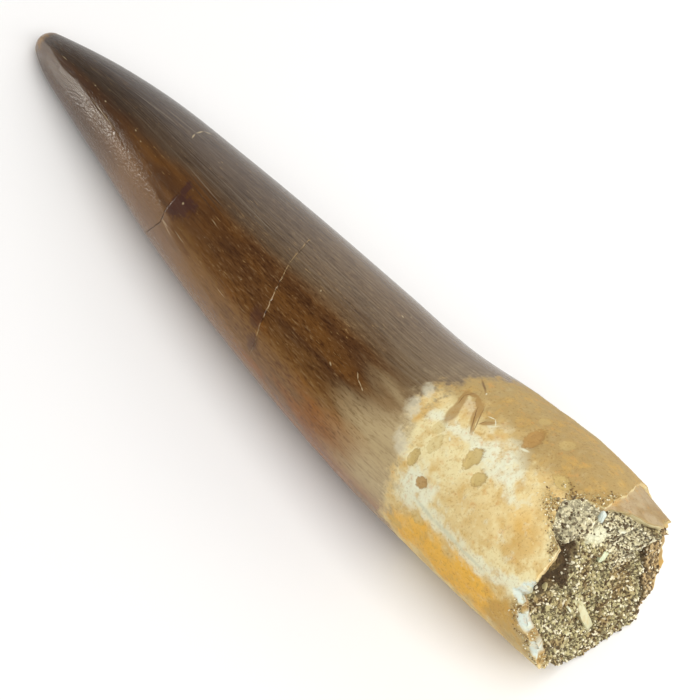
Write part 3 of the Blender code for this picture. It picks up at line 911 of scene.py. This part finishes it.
def sand_mesh(ground, finish, settings):
    """The sand's grains as one plain mesh, in mm."""
    holder = put_in_scene("sand_ground", ground)
    modifier = holder.modifiers.new("sand", 'NODES')
    modifier.node_group = SCATTER
    settings = {**settings, "Finish": finish}
    for item in modifier.node_group.interface.items_tree:
        if item.in_out == 'INPUT' and item.name in settings:
            modifier[item.identifier] = settings[item.name]
    evaluated = holder.evaluated_get(bpy.context.evaluated_depsgraph_get())
    grains = bpy.data.meshes.new_from_object(evaluated)
    bpy.data.objects.remove(holder)
    return grains


# ---------- materials ----------

def wrap_place(along, around):
    """Where a place on the tooth lies on the even cylinder that its streaks are drawn on."""
    angle = math.radians(around)
    return Vector((STREAK_RADIUS * math.cos(angle), STREAK_RADIUS * math.sin(angle), along))


def ovals_along(lines):
    """Long thin ovals laid end to end along lines given as half a width and places along, around."""
    for half, *places in lines:
        for (start_along, start_around), (end_along, end_around) in zip(places, places[1:]):
            middle_along = (start_along + end_along) / 2
            run = end_along - start_along
            swing = math.radians(end_around - start_around) * float(half_width(middle_along))
            length = math.hypot(run, swing) + 2 * half
            turn = math.degrees(math.atan2(swing, run))
            yield middle_along, (start_around + end_around) / 2, length, 2 * half, turn


OVAL_REACH = 3.0  # how far from its middle an oval is felt, where its rim is 1
OVAL_DEPTH = 4.0  # half of how deep it goes through the surface, in mm


class Nodes:
    """Short ways to add and join shader nodes in one material."""

    def __init__(self, name):
        self.material = bpy.data.materials.new(name)
        self.material.use_nodes = True
        self.tree = self.material.node_tree
        self.shader = self.tree.nodes["Principled BSDF"]

    def add(self, kind, inputs, output=0, **settings):
        return add_node(self.tree, kind, inputs, output, **settings)

    def attribute(self, label, output="Fac"):
        return self.add('ShaderNodeAttribute', {}, output, attribute_name=label)

    def here(self):
        return self.add('ShaderNodeTexCoord', {}, "Object")

    def noise(self, vector, scale, stretch=(1, 1, 1), detail=3.0, roughness=0.55):
        placed = self.add('ShaderNodeMapping', {"Scale": stretch, "Vector": vector})
        return self.add('ShaderNodeTexNoise', {
            "Scale": scale, "Detail": detail, "Roughness": roughness, "Vector": placed}, "Fac")

    def dots(self, vector, scale):
        return self.add('ShaderNodeTexVoronoi', {"Scale": scale, "Vector": vector}, "Distance")

    def spread(self, value, start, end, low=0.0, high=1.0):
        return self.add('ShaderNodeMapRange', {
            "Value": value, "From Min": start, "From Max": end, "To Min": low, "To Max": high},
            interpolation_type='SMOOTHSTEP')

    def sum(self, first, second, operation='ADD'):
        return self.add('ShaderNodeMath', {0: first, 1: second}, operation=operation)

    def times(self, first, second):
        return self.sum(first, second, 'MULTIPLY')

    def between(self, first, second, share):
        """A number from one to the other, by a share of 0 to 1."""
        return self.add('ShaderNodeMix', {0: share, 2: first, 3: second}, data_type='FLOAT')

    def mix(self, under, over, amount, blend='MIX'):
        return self.add('ShaderNodeMix', {"Factor": amount, 6: under, 7: over}, 2,
                        data_type='RGBA', blend_type=blend)

    def coat(self, paint, colour, texture, start, full, most, share=None, blend='MIX'):
        """The paint with a colour over it where a texture is past start, and the most past full."""
        amount = self.spread(texture, start, full, 0, most)
        if share is not None:
            amount = self.times(amount, share)
        return self.mix(paint, colour, amount, blend)

    def coats(self, paint, *coats):
        """The paint with coats over it in turn, each given as a coat's colour and all that follows it."""
        for coat in coats:
            paint = self.coat(paint, *coat)
        return paint

    def swing(self, texture, size):
        """A texture of 0 to 1 as a number that swings this much about 0."""
        return self.sum(self.times(texture, size), -size / 2)

    def drawn(self, paint, place, jag, *marks):
        """The paint with marks on it, each given as its lines, how ragged they are, and its coat."""
        for lines, ragged, colour, *reach in marks:
            distance = self.ovals(place, ovals_along(lines))
            if ragged:
                distance = self.sum(distance, self.times(jag, ragged))
            paint = self.coat(paint, colour, distance, *reach)
        return paint

    def ovals(self, place, marks):
        """Distance from the nearest of some oval marks, 1 at a rim and 0 in a middle."""
        nearest = 0.0
        for mark in marks:
            nearest = self.sum(self.oval(place, mark), nearest, 'MAXIMUM')
        return self.sum(OVAL_REACH, self.times(nearest, -OVAL_REACH))

    def oval(self, place, mark):
        """1 in the middle of one oval mark, falling evenly to 0 well outside it."""
        along, around, length, width, turn = mark
        across = width / 2 * STREAK_RADIUS / float(half_width(along))
        placed = self.add('ShaderNodeMapping', {
            "Vector": place, "Location": wrap_place(along, around),
            "Rotation": (-math.radians(turn), 0, math.radians(around)),
            "Scale": OVAL_REACH * Vector((OVAL_DEPTH, across, length / 2))}, vector_type='TEXTURE')
        return self.add('ShaderNodeTexGradient', {"Vector": placed}, "Fac", gradient_type='SPHERICAL')

    def finish(self, colour, roughness):
        """The material, once its colour and its roughness are joined."""
        feed(self.shader.inputs["Base Color"], colour)
        feed(self.shader.inputs["Roughness"], roughness)
        return self.material

    def bump(self, height, strength, distance):
        normal = self.add('ShaderNodeBump', {"Strength": strength, "Distance": distance, "Height": height})
        feed(self.shader.inputs["Normal"], normal)


# Strokes drawn on the tooth, each half its width, then its places as along, around
PURPLE_PATCH = (
    (0.65, (26.8, 137), (27.0, 121)), (0.8, (27.1, 131), (27.7, 121)), (0.3, (26.5, 120), (26.3, 109)),
)
PURPLE_STAINS = ((0.65, (39.9, 139), (40.1, 144)), (0.6, (40.9, 156), (40.8, 161)))
PALE_HAIRS = (
    (0.07, (22.1, 76), (21.7, 67)), (0.08, (21.7, 68), (21.6, 54)), (0.07, (21.6, 56), (22.2, 48)),
    (0.06, (50.4, 116), (50.9, 119), (51.6, 121), (51.9, 122)), (0.12, (27.2, 124), (27.22, 124.6)),
    (0.04, (25.9, 148), (28.4, 155)), (0.05, (26.3, 149), (27.4, 150)),
    (0.03, (28.0, 146), (29.9, 148)), (0.03, (5.0, 107), (6.0, 108)),
    (0.06, (10.7, 108), (10.8, 108.5)), (0.06, (12.9, 114), (13.1, 114.4)),
    (0.06, (17.8, 112), (18.0, 112.4)), (0.04, (19.1, 116), (19.3, 116)),
    (0.03, (11.0, 124), (16.5, 131)), (0.03, (30.4, 115), (31.4, 117)), (0.03, (35.0, 150), (36.4, 151)),
    (0.07, (42.5, 95), (42.6, 95.6)), (0.07, (48.0, 124), (48.3, 125)), (0.07, (48.2, 65), (48.5, 65.5)),
)
DARK_RIDGES = (
    (0.08, (13.3, 84), (21.7, 76)), (0.07, (11.0, 71), (18.0, 63)), (0.07, (15.1, 66), (22.8, 62)),
    (0.06, (11.8, 53), (19.5, 48)), (0.08, (23.6, 101), (32.1, 107)), (0.06, (24.4, 106), (31.0, 111)),
    (0.06, (26.0, 91), (33.5, 93)), (0.06, (34.0, 100), (38.0, 103)),
)
PALE_RIDGES = (
    (0.06, (13.0, 81), (20.5, 73)), (0.05, (16.0, 69), (24.0, 64)), (0.05, (24.0, 98), (31.0, 103)),
    (0.05, (27.0, 86), (36.0, 89)),
)
ROOT_STAINS = (
    (0.5, (58.8, 100), (58.6, 96)), (0.34, (58.7, 97), (58.2, 88)), (0.26, (58.2, 89), (57.8, 81)),
    (0.22, (57.8, 81), (58.5, 80)), (0.24, (58.9, 81), (59.5, 84)), (0.34, (59.6, 84), (60.3, 93)),
    (0.16, (60.2, 93), (61.0, 99)), (0.2, (61.0, 91), (61.5, 87)),
)
DARK_LINES = (
    (0.06, (59.75, 83), (61.3, 100)), (0.06, (59.35, 85), (61.0, 99)), (0.13, (57.2, 66), (58.7, 73)),
    (0.05, (58.3, 91), (57.9, 84)), (0.05, (57.9, 84), (58.2, 79.5)), (0.05, (60.8, 93), (61.0, 89)),
)
PALE_LINES = (
    (0.06, (60.7, 85.5), (61.3, 84.4)), (0.06, (61.3, 84.4), (61.8, 87.5)),
    (0.08, (58.75, 73.4), (58.8, 74)), (0.1, (60.2, 110), (60.4, 111)),
    (0.05, (61.5, 91), (61.9, 87.5)), (0.16, (64.7, 88.6), (65.2, 87.6)),
)
VEIN_LINE = (
    (0.22, (61.4, 150.5), (63.8, 153)), (0.26, (63.2, 152.6), (66.8, 154)),
    (0.2, (66.2, 154), (69.2, 154.6)),
)
PALE_BLOBS = (
    (0.6, (55.9, 108), (56.3, 110)), (0.6, (57.1, 128), (57.9, 132)), (0.45, (55.6, 95), (55.9, 96)),
)


def enamel_colour(nodes, wrap, jag):
    """Colour of the enamel, and the streaks and ridges that its gloss and relief follow too."""
    broad = nodes.noise(wrap, 1.0, (1.5, 1.5, 0.2), 6.0, 0.68)
    lines = nodes.noise(wrap, 1.0, (6.5, 6.5, 0.4), 4.0, 0.62)
    ridges = nodes.noise(wrap, 1.0, (6.0, 6.0, 0.07), 2.0, 0.5)
    dashes = nodes.noise(wrap, 1.0, (8.0, 8.0, 1.3), 4.0, 0.6)
    hairs = nodes.noise(wrap, 1.0, (13.0, 13.0, 1.1), 2.0)
    past_tip = nodes.spread(nodes.attribute("past_edge"), -32.0, -20.0)
    off_band = nodes.spread(nodes.attribute("polish"), 0.0, 1.0, 1.0, 0.65)
    before_edge = nodes.spread(nodes.attribute("past_edge"), -9.0, -2.0, 1.0, 0.45)
    strength = nodes.times(off_band, before_edge)
    dashed = nodes.times(strength, past_tip)
    grey = nodes.attribute("ridged")
    ridged = nodes.spread(grey, 0.0, 1.0, 0.35, 0.65)
    warm = nodes.spread(grey, 0.0, 1.0, 1.0, 0.4)
    enamel = nodes.coats(
        nodes.attribute("enamel_paint", "Color"),
        (RIDGE_SHADE, ridges, 0.5, 0.36, 0.32, grey, 'MULTIPLY'),
        (RIDGE_GREY, ridges, 0.56, 0.7, 0.2, grey),
        (BROAD_SHADE, broad, 0.5, 0.3, 0.6, strength, 'MULTIPLY'),
        (STREAK_AMBER, broad, 0.52, 0.76, 0.35, nodes.times(strength, warm)),
        (STREAK_SHADE, lines, 0.48, 0.32, 0.8, ridged, 'MULTIPLY'),
        (STREAK_GREY, lines, 0.56, 0.74, 0.4, ridged),
        (DASH_SHADE, dashes, 0.49, 0.36, 0.75, nodes.times(dashed, warm), 'MULTIPLY'),
        (DASH_TAN, dashes, 0.56, 0.72, 0.35, dashed),
        (HAIR_TAN, hairs, 0.68, 0.74, 0.5, strength),
    )
    specks = nodes.times(nodes.spread(nodes.dots(wrap, 1.5), 0.07, 0.03), nodes.spread(broad, 0.5, 0.55))
    enamel = nodes.mix(enamel, FLECK, nodes.times(specks, 0.7))
    enamel = nodes.drawn(
        enamel, wrap, jag,
        (PURPLE_PATCH, 2.6, PURPLE, 1.4, 0.6, 0.72), (PURPLE_STAINS, 1.8, PURPLE, 1.3, 0.6, 0.5),
        (DARK_RIDGES, 0, DEEP_GREY, 1.1, 0.3, 0.55), (PALE_RIDGES, 0, PALE_RIDGE, 1.1, 0.3, 0.35),
        (PALE_HAIRS, 0, FLECK, 1.1, 0.3, 0.6),
    )
    return enamel, dashes, nodes.times(nodes.times(ridges, 0.9), grey)


def root_colour(nodes, wrap, jag, flecked):
    """Colour of the bare root, and the clouds and grit that its edge and relief follow too."""
    blotches = nodes.noise(wrap, 0.8, (1, 1, 1), 5.0, 0.62)
    cloud = nodes.noise(wrap, 1.9, (1, 1, 0.8), 4.0, 0.6)
    grit = nodes.noise(wrap, 5.5, (1, 1, 1), 4.0, 0.65)
    root = nodes.coats(
        nodes.attribute("root_paint", "Color"),
        (OCHRE, blotches, 0.5, 0.68, 0.6),
        (CHALK, blotches, 0.46, 0.3, 0.45, flecked),
        (CLOUD_ORANGE, cloud, 0.56, 0.74, 0.45),
        (PALE_CREAM, cloud, 0.46, 0.3, 0.5, flecked),
    )
    torn = nodes.swing(grit, 0.7)
    for pits, fill, amount in (
            (PITS, PIT_OCHRE, 0.9), (BROWN_PITS, PIT_BROWN, 0.9), (FAINT_PITS, PIT_OCHRE, 0.45)):
        rims = nodes.sum(nodes.ovals(wrap, pits), nodes.sum(nodes.times(jag, 1.3), torn))
        root = nodes.coat(root, fill, rims, 1.12, 0.88, amount)
        # a darker ring at each pit's edge: painted shade where the edge drops into the pit
        outline = nodes.times(nodes.spread(rims, 1.16, 1.02), nodes.spread(rims, 0.8, 0.98))
        root = nodes.mix(root, PIT_RIM_SHADE, nodes.times(outline, 0.45 * amount ** 2))
    root = nodes.coat(root, GRIT_SHADE, grit, 0.48, 0.32, 0.6, blend='MULTIPLY')
    root = nodes.coat(root, CHALK, grit, 0.62, 0.76, 0.12)
    clinging = nodes.times(nodes.attribute("sandy"), nodes.spread(grit, 0.62, 0.44, 0.2, 0.9))
    root = nodes.mix(root, CLINGING_SAND, clinging)
    root = nodes.drawn(
        root, wrap, jag,
        (ROOT_STAINS, 0.9, MARK_BROWN, 1.25, 0.75, 0.75), (DARK_LINES, 0, LINE_BROWN, 1.2, 0.3, 0.75),
        (PALE_LINES, 0, CHALK, 1.2, 0.3, 0.8), (VEIN_LINE, 0, VEIN_GREY, 1.2, 0.3, 0.65),
    )
    pores = nodes.times(nodes.spread(nodes.dots(wrap, 2.6), 0.13, 0.07), nodes.spread(cloud, 0.48, 0.6))
    return nodes.mix(root, PORE_BROWN, nodes.times(pores, 0.55)), cloud, grit


def tooth_material():
    """Glossy streaked enamel that feathers out over a duller, mottled root."""
    nodes = Nodes("enamel and root")
    even = nodes.attribute("wrap", "Vector")
    jag = nodes.swing(nodes.noise(even, 1.6, (1, 1, 1), 4.0, 0.7), 0.9)
    wrap = nodes.add('ShaderNodeVectorMath', {0: even, 1: nodes.times(jag, 0.12)}, operation='ADD')
    enamel, dashes, ridge_height = enamel_colour(nodes, wrap, jag)
    past_edge = nodes.attribute("past_edge")
    flecked = nodes.attribute("flecked")
    root, cloud, grit = root_colour(nodes, wrap, jag, flecked)

    ragged = nodes.swing(nodes.noise(wrap, 0.6, (1, 1, 1), 3.0, 0.6), 5.0)
    feathered = nodes.swing(cloud, 3.0)
    combed = nodes.swing(dashes, 1.2)
    edge = nodes.sum(nodes.sum(past_edge, ragged), nodes.sum(feathered, combed))
    soft = nodes.spread(flecked, 1.0, 0.15)
    edge = nodes.times(edge, nodes.spread(soft, 0.0, 1.0, 1.0, 0.8))
    bare = nodes.spread(edge, -0.7, 0.9)
    bleached = nodes.times(nodes.spread(edge, -2.0, 0.2), nodes.spread(cloud, 0.4, 0.6, 0.3, 1.0))
    bleached = nodes.times(bleached, nodes.spread(soft, 0.0, 1.0, 0.55, 0.15))
    enamel = nodes.mix(enamel, BLEACHED_TAN, bleached)
    worn = nodes.mix(enamel, root, bare)
    worn = nodes.drawn(worn, wrap, jag, (PALE_BLOBS, 2.2, BLOB_WHITE, 1.5, 0.5, 0.6))

    gloss = nodes.spread(dashes, 0.3, 0.7, 0.13, 0.27)
    dull = nodes.spread(grit, 0.3, 0.7, 0.58, 0.76)
    roughness = nodes.between(gloss, dull, bare)
    frost = nodes.noise(wrap, 3.6, (1, 1, 0.7), 2.0, 0.6)
    grainy = nodes.times(frost, nodes.spread(nodes.attribute("polish"), 0.0, 1.0, 0.3, 2.2))
    streaked = nodes.sum(nodes.times(dashes, 0.5), ridge_height)
    nodes.bump(nodes.between(nodes.sum(streaked, grainy), grit, bare), 0.5, 0.06 * MM)
    nodes.shader.inputs["Specular IOR Level"].default_value = 0.25
    return nodes.finish(worn, roughness)


def rock_material():
    """Fine dark matrix between the grains of sand."""
    nodes = Nodes("sandy rock")
    grit = nodes.noise(nodes.here(), 3500.0, (1, 1, 1), 3.0, 0.6)
    sandy = nodes.spread(nodes.attribute("sandy"), 0.0, 1.0, 0.15, 1.0)
    colour = nodes.coat(nodes.attribute("rock_paint", "Color"), SAND_DARK, grit, 0.62, 0.42, 0.85, sandy)
    nodes.bump(grit, 0.7, 0.1 * MM)
    return nodes.finish(colour, nodes.spread(grit, 0.3, 0.7, 0.85, 0.98))


def grain_material(name, dark):
    """Grains of sand, from dark to nearly white, each with its own tone."""
    nodes = Nodes(name)
    tone = nodes.attribute("tone")
    cloud = nodes.noise(nodes.here(), 5000.0)
    colour = nodes.coats(
        nodes.attribute("rock_paint", "Color"),
        (dark, tone, 0.6, 0.24, 0.95),
        (GRAIN_WHITE, tone, 0.66, 0.9, 0.85),
        (SAND_BROWN, cloud, 0.5, 0.75, 0.5),
    )
    nodes.bump(cloud, 0.4, 0.04 * MM)
    return nodes.finish(colour, nodes.spread(tone, 0.0, 1.0, 0.85, 0.55))


def chip_material():
    """Pale worn bone, faintly grained."""
    nodes = Nodes("bone chips")
    grain = nodes.noise(nodes.here(), 2500.0, (1, 1, 0.4), 4.0)
    colour = nodes.coat(nodes.attribute("rock_paint", "Color"), OCHRE, grain, 0.5, 0.75, 0.5)
    nodes.bump(grain, 0.4, 0.05 * MM)
    return nodes.finish(colour, nodes.spread(grain, 0.3, 0.7, 0.45, 0.65))


def floor_material():
    nodes = Nodes("pale floor")
    cloud = nodes.noise(nodes.here(), 8.0)
    return nodes.finish(nodes.mix(FLOOR_WHITE, FLOOR_GREY, nodes.spread(cloud, 0.3, 0.7)), 0.8)


# ---------- camera, floor and light ----------

LOOK_AT = Vector((6.32, 0.15, 5.0)) * MM
CAMERA_DISTANCE = 0.3
CAMERA_AZIMUTH = 0.9058  # radians from -Y towards +X
CAMERA_HEIGHT = 0.93375  # radians above the floor
LENS = 198.3
FLOOR_HALF = 3.0
FLOOR_DROP = 0.02 * MM
WARM_WHITE = (1.0, 0.985, 0.96)
LIGHTS = (  # name, direction from the tooth, distance, size, power, colour
    ("back window", (-0.35, 0.85, 0.4), 0.55, (0.8, 0.5), 1.4, (1, 1, 1)),
    ("low side panel", (-0.955, -0.295, 0.022), 0.26, (0.055, 0.02), 0.19, (1.0, 0.98, 0.9)),
    ("front fill", (0.9, 0.05, 0.4), 0.5, (0.4, 0.3), 0.8, (1, 1, 1)),
    ("overhead panel", (0.55, -0.1, 0.85), 0.6, (0.5, 0.5), 3.6, WARM_WHITE),
)


def toward(azimuth, height):
    """Direction at an azimuth from -Y towards +X, and a height above the floor, in radians."""
    flat = math.cos(height)
    return Vector((math.sin(azimuth) * flat, -math.cos(azimuth) * flat, math.sin(height)))


def make_camera():
    data = bpy.data.cameras.new("camera")
    data.lens = LENS
    data.sensor_width = 36.0
    data.clip_start = 0.01
    data.clip_end = 20.0
    camera = put_in_scene("camera", data)
    back = toward(CAMERA_AZIMUTH, CAMERA_HEIGHT)
    right = Vector((0, 0, 1)).cross(back).normalized()
    up = back.cross(right)
    turn = Matrix((right, up, back)).transposed().to_4x4()
    camera.matrix_world = Matrix.Translation(LOOK_AT + back * CAMERA_DISTANCE) @ turn
    bpy.context.scene.camera = camera


def make_light(name, direction, distance, size, power, colour):
    """A soft panel that shines at the tooth."""
    data = bpy.data.lights.new(name, 'AREA')
    data.shape = 'RECTANGLE'
    data.size, data.size_y = size
    data.energy = power
    data.color = colour
    light = put_in_scene(name, data)
    light.location = LOOK_AT + Vector(direction).normalized() * distance
    light.rotation_euler = (LOOK_AT - light.location).to_track_quat('-Z', 'Y').to_euler()


def make_floor():
    mesh = bpy.data.meshes.new("floor")
    signs = ((-1, -1), (1, -1), (1, 1), (-1, 1))
    corners = [(x * FLOOR_HALF, y * FLOOR_HALF, -FLOOR_DROP) for x, y in signs]
    mesh.from_pydata(corners, [], [(0, 1, 2, 3)])
    mesh.materials.append(floor_material())
    put_in_scene("floor", mesh)


def light_scene():
    world = bpy.data.worlds.new("studio")
    bpy.context.scene.world = world
    world.use_nodes = True
    background = world.node_tree.nodes["Background"]
    background.inputs["Color"].default_value = (1.0, 0.97, 0.93, 1)
    background.inputs["Strength"].default_value = 0.25
    for light in LIGHTS:
        make_light(*light)
    bpy.context.scene.view_settings.view_transform = 'Standard'


SCATTER = sand_tree()
make_tooth(tooth_material(), grain_material("margin sand", MARGIN_GRAIN_DARK))
make_rock(rock_material(), grain_material("sand grains", ROCK_GRAIN_DARK), chip_material())
make_floor()
light_scene()
make_camera()
